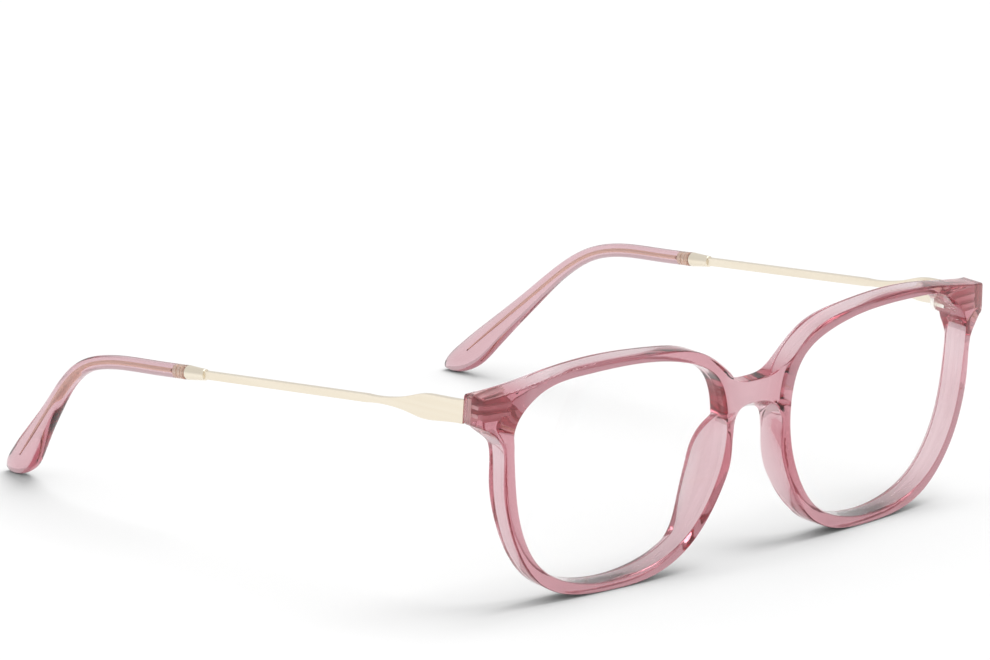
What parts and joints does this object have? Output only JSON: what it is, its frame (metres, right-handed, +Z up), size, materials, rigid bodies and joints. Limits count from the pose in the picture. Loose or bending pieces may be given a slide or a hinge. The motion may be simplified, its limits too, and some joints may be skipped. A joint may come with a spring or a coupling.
{
  "type": "eyeglasses",
  "caption": "Clear-lens glasses with a translucent acetate front, slim metal temples that fold inwards and acetate ear tips.",
  "frame": {"origin": "on the floor under the middle of the open glasses, where the rims and the temple tips rest", "axes": "+Z up, the front faces -Y, the open temples run towards +Y, +X to the right seen from the front"},
  "size_m": [0.1356, 0.1388, 0.0437],
  "materials": {
    "acetate": "polished translucent blush-pink acetate",
    "lens": "clear, anti-reflective",
    "hinge_metal": "satin champagne gold",
    "screw_metal": "bright steel",
    "temple_metal": "satin champagne gold plating"
  },
  "bodies": {
    "front": {"front_frame": "acetate", "lens_left": "lens", "lens_right": "lens", "nose_pad_left": "acetate", "nose_pad_right": "acetate", "hinge_front_plate_left": "hinge_metal", "hinge_front_plate_right": "hinge_metal", "hinge_screw_left": "screw_metal", "hinge_screw_right": "screw_metal"},
    "temple_left": {"hinge_temple_leaf_left": "hinge_metal", "temple_arm_left": "temple_metal", "core_wire_left": "temple_metal", "ferrule_left": "temple_metal", "core_collar_left": "temple_metal", "temple_tip_left": "acetate"},
    "temple_right": {"hinge_temple_leaf_right": "hinge_metal", "temple_arm_right": "temple_metal", "core_wire_right": "temple_metal", "ferrule_right": "temple_metal", "core_collar_right": "temple_metal", "temple_tip_right": "acetate"}
  },
  "joints": [
    {"name": "temple_right_hinge", "type": "hinge", "parent": "front", "child": "temple_right", "pos_m": [0.0613, -0.05757, 0.03738], "axis": [0, -0.0611, 0.9981], "range_deg": [0, 84]},
    {"name": "temple_left_hinge", "type": "hinge", "parent": "front", "child": "temple_left", "pos_m": [-0.0613, -0.05757, 0.03738], "axis": [0, 0.0611, -0.9981], "range_deg": [0, 79]}
  ]
}
